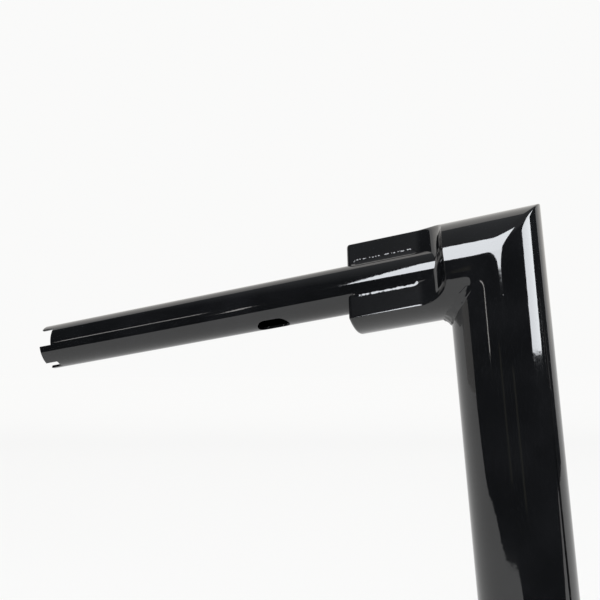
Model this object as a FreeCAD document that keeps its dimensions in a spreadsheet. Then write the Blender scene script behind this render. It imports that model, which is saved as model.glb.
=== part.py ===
import FreeCAD, Part
import math
import os

from FreeCAD import Placement, Rotation, Vector

# Driving dimensions in millimetres and degrees.
SIZES = (
    # Tube stock
    ("fat_diameter", 48.3),
    ("fat_wall", 2.4),
    ("grip_diameter", 25.4),
    ("grip_wall", 1.65),
    ("clamp_diameter", 25.4),
    ("clamp_wall", 3.2),
    # The inserted ends of the grip and clamp tubes are turned down to a shoulder
    ("spigot_step", 0.3),
    # Fit-up gap left between curved faces before welding
    ("weld_gap", 0.1),
    # Centre section: the bare clamp tube, and the base tubes that start at its ends
    ("clamp_half_width", 75),
    ("clamp_shoulder_relief", 1),
    ("base_half_span", 175),
    ("base_ring_thickness", 6),
    ("base_ring_rounding", 1.5),
    ("base_bush_setback", 18),
    ("base_bush_thickness", 8),
    ("clamp_tube_overhang", 3),
    ("exit_slot_setback", 45),
    ("exit_slot_length", 22),
    ("exit_slot_width", 12),
    # Uprights
    ("upright_length", 305),
    ("upright_lean_out_angle", 4.67),
    ("upright_lean_back_angle", 3.81),
    # Arms: stations run outwards from the point where the arm's axis meets the upright's
    ("arm_pullback_angle", 18.1),
    ("arm_droop_angle", 10.34),
    ("recess_start", 22),
    ("scoop_radius", 16),
    ("recess_flat_length", 37),
    ("recess_flat_offset", 9),
    ("recess_tilt_angle", 29),
    ("recess_plate_thickness", 2.5),
    ("upper_weld_leg", 3.3),
    ("lower_weld_leg", 1.9),
    ("recess_weld_inset", 0.5),
    ("arm_end_thickness", 4),
    ("arm_end_rounding", 2),
    ("grip_saddle_setback", 3),
    ("grip_saddle_thickness", 5),
    # Grip tubes: angles run round the tube from level, straight ahead, towards the top
    ("grip_exposed", 187.4),
    ("wire_slot_setback", 44.9),
    ("wire_slot_length", 17.8),
    ("wire_slot_width", 10.5),
    ("wire_slot_angle", -65),
    ("wide_notch_width", 10.9),
    ("narrow_notch_width", 5.6),
    ("notch_depth", 7.5),
    ("notch_angle", 29.4),
    # Weld in the inner crook of each mitred corner, and how far it spreads round the tubes
    ("corner_weld_throat", 2.6),
    ("corner_weld_spread_angle", 48),
)

doc = FreeCAD.newDocument("Handlebar")
sheet = doc.addObject("Spreadsheet::Sheet", "Sizes")
for row, (alias, value) in enumerate(SIZES, start=1):
    sheet.set(f"A{row}", alias)
    sheet.set(f"B{row}", str(value))
    sheet.setAlias(f"B{row}", alias)
doc.recompute()

FAT_RADIUS = "(Sizes.fat_diameter / 2)"
FAT_BORE = "(Sizes.fat_diameter / 2 - Sizes.fat_wall)"
GRIP_RADIUS = "(Sizes.grip_diameter / 2)"
GRIP_BORE = "(Sizes.grip_diameter / 2 - Sizes.grip_wall)"
GRIP_SPIGOT = "(Sizes.grip_diameter / 2 - Sizes.spigot_step)"
CLAMP_RADIUS = "(Sizes.clamp_diameter / 2)"
CLAMP_BORE = "(Sizes.clamp_diameter / 2 - Sizes.clamp_wall)"
CLAMP_SPIGOT = "(Sizes.clamp_diameter / 2 - Sizes.spigot_step)"
FLAT_START = "(Sizes.recess_start + Sizes.scoop_radius)"
ARM_LENGTH = f"({FLAT_START} + Sizes.recess_flat_length)"
ARM_TUBE_END = f"({ARM_LENGTH} - Sizes.arm_end_thickness)"
GRIP_END = f"({ARM_LENGTH} + Sizes.grip_exposed)"
BASE_RING_FACE = "(Sizes.base_half_span - Sizes.clamp_half_width)"
BASE_TUBE_END = f"({BASE_RING_FACE} - Sizes.base_ring_thickness)"

# Length by which a cutter or an uncut tube runs past the face that trims it
OVERRUN = "Sizes.fat_diameter"

X_AXIS = Vector(1, 0, 0)
Y_AXIS = Vector(0, 1, 0)
Z_AXIS = Vector(0, 0, 1)
pieces = []


def size(alias):
    """The value of one driving dimension."""
    return float(sheet.get(alias))


def frame(origin, z_axis, x_axis):
    """A placement whose local z axis lies along one direction, and its x axis near another."""
    z = Vector(z_axis).normalize()
    y = z.cross(x_axis).normalize()
    return Placement(origin, Rotation(y.cross(z), y, z, "ZXY"))


def axis_of(seat):
    """The direction of a tube that lies along its own z axis."""
    return seat.Rotation.multVec(Z_AXIS)


def local(seat, direction):
    """A direction of the whole bar, seen from a tube's own frame."""
    return seat.Rotation.inverted().multVec(direction)


def bind(item, **sizes):
    """Ties properties of an object to expressions on the sheet."""
    for name, expression in sizes.items():
        item.setExpression(name.replace("__", "."), expression)
    return item


def cylinder(name, radius, start, end):
    """A round bar along local z."""
    item = doc.addObject("Part::Cylinder", name)
    return bind(item, Radius=radius, Height=f"{end} - ({start})", Placement__Base__z=start)


def box(name, x, y, z):
    """A block given by its lowest and highest coordinate along each local axis."""
    item = doc.addObject("Part::Box", name)
    bind(item, Placement__Base__x=x[0], Placement__Base__y=y[0], Placement__Base__z=z[0])
    lengths = [f"{high} - ({low})" for low, high in (x, y, z)]
    return bind(item, Length=lengths[0], Width=lengths[1], Height=lengths[2])


def cut(base, *tools):
    """The base with every tool taken away."""
    for tool in tools:
        step = doc.addObject("Part::Cut", f"{base.Name}_cut")
        step.Base = base
        step.Tool = tool
        base = step
    return base


def common(first, second):
    """What two solids share."""
    shared = doc.addObject("Part::Common", f"{first.Name}_common")
    shared.Base = first
    shared.Tool = second
    return shared


def rounded(item, radius, is_chosen):
    """An object with the chosen edges rounded."""
    doc.recompute()
    smooth = doc.addObject("Part::Fillet", f"{item.Name}_rounded")
    smooth.Base = item
    edges = enumerate(item.Shape.Edges, start=1)
    smooth.Edges = [(number, radius, radius) for number, edge in edges if is_chosen(edge.BoundBox)]
    return smooth


def tube(name, outer, inner, start, end):
    """A tube along local z."""
    return cut(cylinder(f"{name}_outside", outer, start, end), cylinder(f"{name}_bore", inner, start, end))


def stepped_tube(name, outer, spigot, inner, span, full_span):
    """A tube along local z that is turned down to a spigot outside its full-size span."""
    body = doc.addObject("Part::MultiFuse", f"{name}_body")
    body.Shapes = [
        cylinder(f"{name}_spigot", spigot, *span),
        cylinder(f"{name}_outside", outer, *full_span),
    ]
    return cut(body, cylinder(f"{name}_bore", inner, *span))


def closing_ring(disc, thickness, rounding, hole):
    """A disc that closes the end of a fat tube, with its outer rim rounded and a hole through it."""
    doc.recompute()
    rim = max(edge.BoundBox.Center.z for edge in disc.Shape.Edges)
    radius = min(size(rounding), 0.8 * size(thickness))
    disc = rounded(disc, radius, lambda bounds: bounds.Center.z > rim - radius / 4)
    return cut(disc, hole)


def obround(name, length, width, station):
    """A round-ended cutter that points along local x, with its length along z."""
    half_width = f"({width} / 2)"
    half_straight = f"(({length} - {width}) / 2)"
    depth = "Sizes.fat_diameter"
    bar = box(
        f"{name}_bar",
        ("0", depth),
        (f"-{half_width}", half_width),
        (f"{station} - {half_straight}", f"{station} + {half_straight}"),
    )
    shapes = [bar]
    for sign in "-+":
        end = doc.addObject("Part::Cylinder", f"{name}_end")
        end.Placement = Placement(Vector(), Rotation(Y_AXIS, 90))
        bind(end, Radius=half_width, Height=depth, Placement__Base__z=f"{station} {sign} {half_straight}")
        shapes.append(end)
    cutter = doc.addObject("Part::MultiFuse", name)
    cutter.Shapes = shapes
    return cutter


def mitre_block(name, keep_side, corner=0):
    """A block that fills the waste side of a mitre plane through a point on the local z axis."""
    block = doc.addObject("Part::Box", name)
    edge = "4 * Sizes.fat_diameter"
    length = 4 * size("fat_diameter")
    top_centre = Placement(Vector(-length / 2, -length / 2, -length), Rotation())
    block.Placement = Placement(Vector(0, 0, corner), Rotation(Z_AXIS, keep_side)) * top_centre
    return bind(block, Length=edge, Width=edge, Height=edge)


def add_piece(node, item, seat):
    """Names a finished sub-part and puts it in its place."""
    item.Label = node
    item.Placement = seat
    pieces.append(item)


def add_clamp_tube():
    """The grip-sized tube through the middle, which the risers hold."""
    reach = " + ".join(
        f"Sizes.{alias}"
        for alias in (
            "clamp_half_width",
            "base_ring_thickness",
            "base_bush_setback",
            "base_bush_thickness",
            "clamp_tube_overhang",
        )
    )
    shoulder = "(Sizes.clamp_half_width - Sizes.clamp_shoulder_relief)"
    stock = stepped_tube(
        "clamp",
        CLAMP_RADIUS,
        CLAMP_SPIGOT,
        CLAMP_BORE,
        (f"-({reach})", f"({reach})"),
        (f"-{shoulder}", shoulder),
    )
    add_piece("clamp_tube", stock, frame(Vector(), X_AXIS, Z_AXIS))


def add_base(side, seat, upright):
    """The fat tube below one upright, with the ring and the bush that hold the clamp tube."""
    clamp_hole = f"{CLAMP_SPIGOT} + Sizes.weld_gap"
    bush_face = f"({BASE_TUBE_END} - Sizes.base_bush_setback)"

    stock = tube(f"base_{side}", FAT_RADIUS, FAT_BORE, f"-{OVERRUN}", BASE_TUBE_END)
    mitre = mitre_block(f"base_mitre_{side}", local(seat, axis_of(seat) - upright))
    station = f"({BASE_TUBE_END} - Sizes.exit_slot_setback)"
    slot = obround(f"exit_slot_{side}", "Sizes.exit_slot_length", "Sizes.exit_slot_width", station)
    add_piece(f"base_tube_{side}", cut(stock, mitre, slot), seat)

    disc = cylinder(f"ring_{side}", FAT_RADIUS, BASE_TUBE_END, BASE_RING_FACE)
    hole = cylinder(f"ring_hole_{side}", clamp_hole, BASE_TUBE_END, BASE_RING_FACE)
    end_ring = closing_ring(disc, "base_ring_thickness", "base_ring_rounding", hole)
    add_piece(f"base_ring_{side}", end_ring, seat)

    bush_back = f"{bush_face} - Sizes.base_bush_thickness"
    bush = tube(f"bush_{side}", f"{FAT_BORE} - Sizes.weld_gap", clamp_hole, bush_back, bush_face)
    add_piece(f"base_bush_{side}", bush, seat)


def add_upright(side, seat, base, arm):
    """The fat tube between the lower and the upper corner, mitred at both ends."""
    top = f"Sizes.upright_length + {OVERRUN}"
    stock = tube(f"upright_{side}", FAT_RADIUS, FAT_BORE, f"-{OVERRUN}", top)
    foot_mitre = mitre_block(f"foot_mitre_{side}", local(seat, axis_of(seat) - base))
    top_mitre = mitre_block(f"top_mitre_{side}", local(seat, -axis_of(seat) - arm), size("upright_length"))
    add_piece(f"upright_tube_{side}", cut(stock, foot_mitre, top_mitre), seat)


def recess_block(name, inset, end):
    """The space in front of the control recess, grown backwards by an inset, with its scooped end."""
    block = box(
        name,
        (f"(Sizes.recess_flat_offset - {inset})", "2 * Sizes.fat_diameter"),
        (f"-2 * {OVERRUN}", f"2 * {OVERRUN}"),
        (f"(Sizes.recess_start - {inset})", end),
    )
    doc.recompute()
    bounds = block.Shape.BoundBox
    radius = size("scoop_radius") + size("recess_start") - bounds.ZMin
    return rounded(
        block,
        radius,
        lambda edge: edge.XMax < bounds.XMin + radius and edge.ZMax < bounds.ZMin + radius,
    )


def recess_bead(name, leg, turn):
    """A fillet weld along one side of the grip tube, with one leg on the flat and one round the tube."""
    flat = "Sizes.recess_flat_offset"
    toe = f"(sqrt({GRIP_SPIGOT}^2 - {flat}^2) + {leg})"
    lap = f"(acos({flat} / {GRIP_SPIGOT}) - {leg} / {GRIP_SPIGOT} * 1 rad)"
    start = f"({FLAT_START} + Sizes.recess_weld_inset)"
    end = f"({ARM_LENGTH} - Sizes.arm_end_rounding - Sizes.recess_weld_inset)"
    half_length = f"(({end} - {start}) / 2)"
    bead = doc.addObject("Part::Wedge", name)
    bead.Placement = Placement(Vector(), Rotation(X_AXIS, turn))
    bind(bead, Placement__Base__z=f"({start} + {end}) / 2")
    bind(bead, Ymin=f"{GRIP_SPIGOT} * sin({lap})", Ymax=toe)
    bind(bead, Xmin=flat, Xmax=f"{GRIP_SPIGOT} * cos({lap})", X2min=flat, X2max=flat)
    bind(bead, Zmin=f"-{half_length}", Zmax=half_length)
    return bind(bead, Z2min=f"-{half_length}", Z2max=half_length)


def add_arm(side, seat, mirror, upright):
    """The fat arm with its control recess, and what closes it round the grip tube."""
    past_end = f"({ARM_LENGTH} + {OVERRUN})"
    inside = f"{FAT_BORE} - Sizes.weld_gap"
    grip_hole = f"{GRIP_SPIGOT} + Sizes.weld_gap"
    grip_path = cylinder(f"grip_path_{side}", grip_hole, "0", past_end)
    mitre = mitre_block(f"arm_mitre_{side}", local(seat, axis_of(seat) - upright))
    recess = recess_block(f"recess_{side}", "0", past_end)

    stock = tube(f"arm_{side}", FAT_RADIUS, FAT_BORE, f"-{OVERRUN}", ARM_TUBE_END)
    add_piece(f"arm_tube_{side}", cut(stock, mitre, recess), seat)

    plate_back = recess_block(f"plate_back_{side}", "Sizes.recess_plate_thickness", ARM_TUBE_END)
    bent_plate = cut(plate_back, recess)
    bore = cylinder(f"arm_inside_{side}", inside, "0", past_end)
    add_piece(f"recess_plate_{side}", cut(common(bent_plate, bore), grip_path, mitre), seat)

    disc = cylinder(f"end_plate_{side}", FAT_RADIUS, ARM_TUBE_END, ARM_LENGTH)
    end_plate = closing_ring(disc, "arm_end_thickness", "arm_end_rounding", grip_path)
    add_piece(f"arm_end_plate_{side}", cut(end_plate, recess), seat)

    half_corner = axis_of(seat).getAngle(upright) / 2
    crook_reach = f"({FAT_RADIUS} / {math.tan(half_corner)})"
    saddle_start = f"({crook_reach} + Sizes.grip_saddle_setback)"
    saddle_end = f"{saddle_start} + Sizes.grip_saddle_thickness"
    saddle = tube(f"saddle_{side}", inside, grip_hole, saddle_start, saddle_end)
    plate_inset = "(Sizes.recess_plate_thickness + Sizes.weld_gap)"
    plate_space = recess_block(f"plate_space_{side}", plate_inset, past_end)
    add_piece(f"grip_saddle_{side}", cut(saddle, plate_space), seat)

    for place, upward in (("upper", 1), ("lower", -1)):
        turn = 0 if mirror == upward else 180
        bead = recess_bead(f"{place}_bead_{side}", f"Sizes.{place}_weld_leg", turn)
        add_piece(f"{place}_recess_weld_{side}", cut(bead, grip_path), seat)


def add_grip(side, seat, mirror, notched):
    """The grip tube, with its wire slot and, on the throttle side, the notches in its end."""
    span = ("Sizes.recess_start", GRIP_END)
    bare_span = (ARM_LENGTH, GRIP_END)
    stock = stepped_tube(f"grip_{side}", GRIP_RADIUS, GRIP_SPIGOT, GRIP_BORE, span, bare_span)
    station = f"({ARM_LENGTH} + Sizes.wire_slot_setback)"
    slot = obround(f"wire_slot_{side}", "Sizes.wire_slot_length", "Sizes.wire_slot_width", station)
    slot_turn = mirror * (size("wire_slot_angle") - size("recess_tilt_angle"))
    slot.Placement = Placement(Vector(), Rotation(Z_AXIS, slot_turn))
    cutters = [slot]
    if notched:
        for quarter, width in ((0, "wide"), (90, "narrow")):
            half_width = f"(Sizes.{width}_notch_width / 2)"
            notch = box(
                f"notch_{side}",
                ("-Sizes.grip_diameter", "Sizes.grip_diameter"),
                (f"-{half_width}", half_width),
                (f"({GRIP_END} - Sizes.notch_depth)", f"({GRIP_END} + {OVERRUN})"),
            )
            holder = doc.addObject("Part::Compound", f"notch_turned_{side}")
            holder.Links = [notch]
            notch_turn = mirror * (size("notch_angle") - size("recess_tilt_angle")) + quarter
            holder.Placement = Placement(Vector(), Rotation(Z_AXIS, notch_turn))
            cutters.append(holder)
    add_piece(f"grip_tube_{side}", cut(stock, *cutters), seat)


def add_corner_weld(node, corner, first, second):
    """The bead in the inner crook of a mitre between two fat tubes that leave the corner."""
    inward = (first + second).normalize()
    across = (first - second).normalize()
    seat = frame(corner, across, inward)
    crook = f"({FAT_RADIUS} / {math.sin(first.getAngle(second) / 2)})"
    spread = "Sizes.corner_weld_spread_angle * 1 deg"
    half_width = f"({FAT_RADIUS} * sin({spread}))"
    rise = f"(Sizes.corner_weld_throat + {crook} * (1 - cos({spread})))"
    radius = f"(({rise}^2 + {half_width}^2) / (2 * {rise}))"
    reach = "(3 * Sizes.corner_weld_throat)"
    bead = cylinder(f"{node}_bead", radius, f"-{reach}", reach)
    bind(bead, Placement__Base__x=f"{crook} + Sizes.corner_weld_throat - {radius}")
    stocks = []
    for direction in (first, second):
        lean = local(seat, direction)
        stock = doc.addObject("Part::Cylinder", f"{node}_stock")
        stock.Placement = Placement(lean * -size("fat_diameter"), Rotation(Z_AXIS, lean))
        bind(stock, Radius=f"{FAT_RADIUS} + Sizes.weld_gap", Height="4 * Sizes.fat_diameter")
        stocks.append(stock)
    add_piece(node, cut(bead, *stocks), seat)


def add_side(side, sign):
    """Everything on one side of the bar; the rider's left is the +X side."""
    pullback = math.radians(size("arm_pullback_angle"))
    droop = math.radians(size("arm_droop_angle"))
    lean_out = math.tan(math.radians(size("upright_lean_out_angle")))
    lean_back = math.tan(math.radians(size("upright_lean_back_angle")))

    base = Vector(-sign, 0, 0)
    up = Vector(sign * lean_out, lean_back, 1).normalize()
    arm = Vector(
        sign * math.cos(droop) * math.cos(pullback),
        math.cos(droop) * math.sin(pullback),
        -math.sin(droop),
    )
    lower_corner = Vector(sign * size("base_half_span"), 0, 0)
    upper_corner = lower_corner + up * size("upright_length")

    # The arm's frame has its x axis square to the flat of the recess.
    ahead = Vector(sign * math.sin(pullback), -math.cos(pullback), 0)
    tilt = math.radians(size("recess_tilt_angle"))
    facing = ahead * math.cos(tilt) + (ahead.cross(arm) * sign).normalize() * math.sin(tilt)
    arm_seat = frame(upper_corner, arm, facing)

    add_base(side, frame(lower_corner, base, -Z_AXIS), up)
    add_upright(side, frame(lower_corner, up, -Y_AXIS), base, arm)
    add_arm(side, arm_seat, -sign, -up)
    add_grip(side, arm_seat, -sign, notched=sign < 0)
    add_corner_weld(f"lower_corner_weld_{side}", lower_corner, base, up)
    add_corner_weld(f"upper_corner_weld_{side}", upper_corner, arm, -up)


def check_pieces():
    """Stops before anything is written if an object failed or a shape is unsound."""
    doc.recompute()
    for item in doc.Objects:
        if "Invalid" in item.State or "Error" in item.State:
            raise RuntimeError(f"{item.Name} failed: {item.State}")
    for piece in pieces:
        shape = piece.Shape
        if shape.isNull() or not shape.isValid() or len(shape.Solids) != 1:
            raise RuntimeError(f"{piece.Label} is not one sound solid")


add_clamp_tube()
add_side("right", -1)
add_side("left", 1)
check_pieces()

os.makedirs("parts", exist_ok=True)
for piece in pieces:
    piece.Shape.exportStep(f"parts/{piece.Label}.step")
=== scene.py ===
import bpy
import bmesh
import math
import numpy as np
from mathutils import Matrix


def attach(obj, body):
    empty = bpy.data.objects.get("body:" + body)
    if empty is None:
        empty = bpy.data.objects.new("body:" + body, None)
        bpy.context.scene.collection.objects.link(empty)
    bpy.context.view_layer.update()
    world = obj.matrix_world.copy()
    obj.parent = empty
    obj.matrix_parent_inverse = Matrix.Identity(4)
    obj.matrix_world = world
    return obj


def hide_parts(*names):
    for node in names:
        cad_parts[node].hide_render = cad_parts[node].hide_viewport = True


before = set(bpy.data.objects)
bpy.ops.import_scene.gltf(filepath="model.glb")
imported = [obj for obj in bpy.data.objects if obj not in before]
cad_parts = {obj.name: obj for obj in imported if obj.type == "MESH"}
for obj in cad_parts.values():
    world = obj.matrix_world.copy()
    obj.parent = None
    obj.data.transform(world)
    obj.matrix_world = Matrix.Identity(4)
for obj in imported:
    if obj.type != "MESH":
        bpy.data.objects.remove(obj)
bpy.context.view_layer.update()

# Sizes in millimetres; angles are written in degrees
MILLIMETRE = 0.001
FAT_RADIUS = 24.15
FAT_BORE = 21.75
GRIP_RADIUS = 12.7
GRIP_BORE = 11.05
CLAMP_RADIUS = 12.7
CLAMP_BORE = 9.5
CLAMP_HALF_WIDTH = 75.0
CLAMP_REACH = 110.0
BASE_HALF_SPAN = 175.0
BASE_RING = 6.0
RING_ROUNDING = 1.5
# Slots have a length and a width
EXIT_SLOT_SETBACK = 45.0
EXIT_SLOT = (22.0, 12.0)
UPRIGHT_LENGTH = 305.0
LEAN_OUT = math.radians(4.67)
LEAN_BACK = math.radians(3.81)
PULLBACK = math.radians(18.1)
DROOP = math.radians(10.34)
RECESS_START = 22.0
SCOOP_RADIUS = 16.0
FLAT_START = RECESS_START + SCOOP_RADIUS
ARM_LENGTH = 75.0
FLAT_OFFSET = 9.0
RECESS_TILT = math.radians(29.0)
PLATE = 2.5
END_PLATE = 4.0
END_ROUNDING = 2.0
GRIP_END = 262.4
WIRE_SLOT_STATION = 119.9
WIRE_SLOT = (17.8, 10.5)
WIRE_SLOT_ANGLE = math.radians(-65.0)
NOTCH_ANGLE = math.radians(29.4)
NOTCH_WIDTHS = (10.9, 5.6)
NOTCH_DEPTH = 7.5
EDGE_BREAK = 0.25
# Blend along the recess's edges: at the flat, more where the scoop climbs, and the climb that it grows over
EDGE_BLEND = 0.8
RIM_BLEND = 4.0
RIM_CLIMB = 8.0
# Slope by which the recess's floor leaves the arm behind the scoop
RUN_OUT = 12.0
# The arm's shell and the hole in its end reach this far into the grip tube
SHELL_LAP = 0.6
HOLE_LAP = 0.9
# Rows of the arm keep this far outside the scoop, and from the mitre
SCOOP_MARGIN = 1.5
MITRE_MARGIN = 1.0
# Turned further from the recess than this, the arm has no flat
LEAST_AHEAD = 0.05
NO_FLAT = 1e3
SPIGOT_STEP = 0.3
WELD_GAP = 0.1
CLAMP_RELIEF = 1.0
# Rounding of a mitre at its point and crook, at its sides, and how soon it changes on the two
MITRE_EDGE = 1.0
MITRE_SIDE = 10.5
CROOK_POWER = 3
POINT_POWER = 2
MITRE_EASE = 3
MITRE_SAMPLES = 401
# Station past the foot's mitre where the base tube's even rows begin
BASE_PLAIN = 33.0
# Beads in the crooks: leg, reach round the tube, rows, thickness at the tips, hollow, and how they swell
CORNER_BEAD_LEG = 3.7
CORNER_BEAD_SPREAD = math.radians(86.0)
CORNER_BEAD_ROWS = 161
CORNER_BEAD_TIP = 0.02
CORNER_HOLLOW = 0.1
CORNER_SWELL = 0.1
CORNER_PITCH = 9.0
CORNER_LIP_HEIGHT = 0.45
CORNER_LIP_BASE = 0.3
CORNER_LIP_PITCH = 7.0
# All beads: depth of their toes and of their root; beads in the recess: gaps to its end and scoop
BEAD_SINK = 0.06
BEAD_ROOT = 0.9
BEAD_INSET = 0.5
BEAD_RUN = 0.5
BEAD_COLUMNS = 45
# Where a bead's lips lie, as a share of its width, and how steeply they end at its toes
RECESS_LIP = 0.055
CORNER_LIP = 0.13
LIP_END = 12
# Beads in the recess: rows, fading at the ends, and how bead and spatter swell
RECESS_BEAD_ROWS = 241
RECESS_BEAD_FADE = 2.5
RECESS_BEAD_TIP = 0.05
RECESS_SWELL = 0.05
RECESS_PITCH = 6.0
SPATTER_BASE = 0.7
SPATTER_SWELL = 0.6
SPATTER_PITCH = 3.6
SPATTER_TOP = 1.2
# Recess beads: place, side of the grip, leg, hollow, height of the spatter and seed
RECESS_BEADS = (("upper", 1, 3.4, 0.85, 0.3, 11), ("lower", -1, 1.8, 0.26, 0.04, 23))
# Meshes: edges past this angle stay crisp, and columns and rows
SHARP_ANGLE = math.radians(35.0)
SLOT_MARGIN = 3.0
GRIP_COLUMNS = 160
FAT_COLUMNS = 200
# The arm's columns are finer round the recess, up to this angle from its middle
RECESS_TURN = math.radians(82)
RECESS_COLUMNS = 200
BACK_COLUMNS = 80
# Rows: from, to and steps
ARM_ROWS = (
    (0, 1, 18),
    (1, 2, 10),
    (2, 3, 64),
    (3, 4, 8),
    (4, 5, 8),
    (5, 6, 3),
    (6, 7, 1),
    (7, 8, 2),
    (8, 9, 14),
    (9, 10, 2),
)
UPRIGHT_ROWS = ((0, 1, 18), (1, 2, 12), (2, 3, 18), (3, 4, 1), (4, 5, 6), (5, 6, 1))
# Rings from the cut rectangle to a slot: share of the way and distance from the slot's edge
SLOT_RINGS = ((0.3, EDGE_BREAK), (0.6, EDGE_BREAK), (0.85, EDGE_BREAK), (1.0, EDGE_BREAK), (1.0, 0.0))

# Studio in metres: the floor and its front edge, and panels by the azimuths and elevations of their corners
FLOOR = -0.0245
FLOOR_EDGE = (
    (-3.0, 0.1),
    (-1.1, 0.0),
    (-0.98, -0.33),
    (-0.86, -0.335),
    (-0.75, -0.4),
    (-0.66, -0.55),
    (-0.58, -0.68),
    (-0.45, -0.66),
    (-0.25, -0.2),
    (3.0, -0.16),
)
FLOOR_REACH = 3.0
TENT_HALF_WIDTH = 2.2
TENT_FRONT = -2.2
TENT_BACK = 0.9
TENT_FOOT = FLOOR - 0.002
TENT_TOP = 2.2
# Camera: its place from the upper corner, lens and frame in millimetres, nearest distance in metres
CAMERA_FROM_CORNER = (-97.7, -416.78, -18.97)
LENS = 50
SENSOR = 36
NEAREST = 0.01
# Points of the bar that the panels are set out from
ARM_EYE = (-0.22, 0.003, 0.308)
UPRIGHT_EYE = (-0.189, 0.0, 0.293)
GRIP_EYE = (-0.39, 0.07, 0.27)
COOL = (0.93, 0.96, 1.0)
WARM = (1.0, 0.98, 0.95)
OLIVE = (1.0, 0.98, 0.8)
# A fade that is over before a panel's foot
EVEN = (-2.0, -1.0)
# Name, point it is seen from, distance, corners, colour, strength and the part of its height that fades
PANELS = (
    (
        "left_softbox", ARM_EYE, 1.2,
        ((-41.0, 19.0), (-5.5, 19.3), (5.5, 47.5), (-48.5, 50.5)),
        COOL, 14.0, EVEN,
    ),
    (
        "right_softbox", UPRIGHT_EYE, 1.3,
        ((53.5, 3.5), (80, 2.6), (91, 30), (63, 30)),
        COOL, 12.0, (-0.03, 0.01),
    ),
    (
        "front_card", UPRIGHT_EYE, 1.25,
        ((-9, 7.4), (-3.7, 7.2), (-6, 22), (-25, 21.5)),
        COOL, 13.0, (0, 0.14),
    ),
    (
        "door_gap", UPRIGHT_EYE, 1.6,
        ((-46.8, -2.8), (-45.3, -2.8), (-44.9, 3.4), (-46.4, 3.4)),
        WARM, 5.0, EVEN,
    ),
    (
        "curtain_gap", GRIP_EYE, 1.6,
        ((-57.3, 8.4), (-45, 12.1), (-45, 14.3), (-57.3, 10.6)),
        WARM, 4.5, EVEN,
    ),
    # The two stands glow faintly in olive: painted light, standing in for lit stands mirrored in the paint
    (
        "left_stand", UPRIGHT_EYE, 1.6,
        ((-25.2, -11), (-21.8, -11), (-21.8, 0), (-25.2, 0)),
        OLIVE, 0.17, EVEN,
    ),
    (
        "right_stand", UPRIGHT_EYE, 1.6,
        ((0.6, -11), (4.4, -11), (4.4, 0.5), (0.6, 0.5)),
        OLIVE, 0.17, EVEN,
    ),
    (
        "left_opening", UPRIGHT_EYE, 1.9,
        ((-114, -18), (-91, -18), (-91, 12), (-114, 12)),
        WARM, 0.6, EVEN,
    ),
)
BACK_SOFTBOX = ((-2.2, 1.4, 0.3), (2.2, 1.4, 0.3), (2.2, 1.4, 3.4), (-2.2, 1.4, 3.4))
BACK_STRENGTH = 1.15
BACK_FADE = (1.0, 0.92)


def unit(v):
    v = np.asarray(v, float)
    return v / np.linalg.norm(v)


# Axes of the rider's right side; the left side is its mirror image
UP = unit([-math.tan(LEAN_OUT), math.tan(LEAN_BACK), 1.0])
ARM = np.array(
    [-math.cos(DROOP) * math.cos(PULLBACK), math.cos(DROOP) * math.sin(PULLBACK), -math.sin(DROOP)]
)
AHEAD = np.array([-math.sin(PULLBACK), -math.cos(PULLBACK), 0.0])
ABOVE = unit(np.cross(ARM, AHEAD))
BASE = np.array([1.0, 0.0, 0.0])
BASE_DOWN = np.array([0.0, 0.0, -1.0])
BASE_BACK = np.array([0.0, 1.0, 0.0])
LOW_CORNER = np.array([-BASE_HALF_SPAN, 0.0, 0.0])
TOP_CORNER = LOW_CORNER + UP * UPRIGHT_LENGTH
FACING = AHEAD * math.cos(RECESS_TILT) + ABOVE * math.sin(RECESS_TILT)
ALONG_FLAT = ABOVE * math.cos(RECESS_TILT) - AHEAD * math.sin(RECESS_TILT)
# Corner beads: place, which weld it is, corner, the two tubes' directions and seed
CORNER_BEADS = (("top", "upper", TOP_CORNER, ARM, -UP, 31), ("low", "lower", LOW_CORNER, BASE, UP, 47))


def mix(a, b, f):
    return a + (b - a) * f


def soft_min(a, b, k):
    """The lesser of two values, blended over a width."""
    return np.minimum(a, b) - np.maximum(k - np.abs(a - b), 0.0) ** 2 / (4 * k)


def build(name, points, faces, mirror, nodes, normals=None):
    """A closed piece from its points in millimetres, standing for CAD nodes."""
    turn = (-1, 1, 1) if mirror else (1, 1, 1)
    mesh = bpy.data.meshes.new(name)
    mesh.from_pydata((np.asarray(points) * turn * MILLIMETRE).tolist(), [], [list(f) for f in faces])
    shell = bmesh.new()
    shell.from_mesh(mesh)
    bmesh.ops.recalc_face_normals(shell, faces=shell.faces)
    shell.to_mesh(mesh)
    shell.free()
    mesh.polygons.foreach_set("use_smooth", np.ones(len(mesh.polygons), bool))
    if normals is None:
        mesh.set_sharp_from_angle(angle=SHARP_ANGLE)
    else:
        mesh.normals_split_custom_set_from_vertices((normals * turn).tolist())
    mesh.materials.append(FINISHES["gloss_black"])
    piece = bpy.data.objects.new(name, mesh)
    bpy.context.collection.objects.link(piece)
    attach(piece, "root")
    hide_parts(*nodes)


def grid_faces(rows, columns, closed=True):
    """Faces of a grid of points that closes round its columns, and round its rows too if it is closed."""
    i, j = np.meshgrid(np.arange(rows if closed else rows - 1), np.arange(columns), indexing="ij")
    i2, j2 = (i + 1) % rows, (j + 1) % columns
    corners = [i * columns + j, i2 * columns + j, i2 * columns + j2, i * columns + j2]
    return np.stack(corners, axis=-1).reshape(-1, 4)


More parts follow.
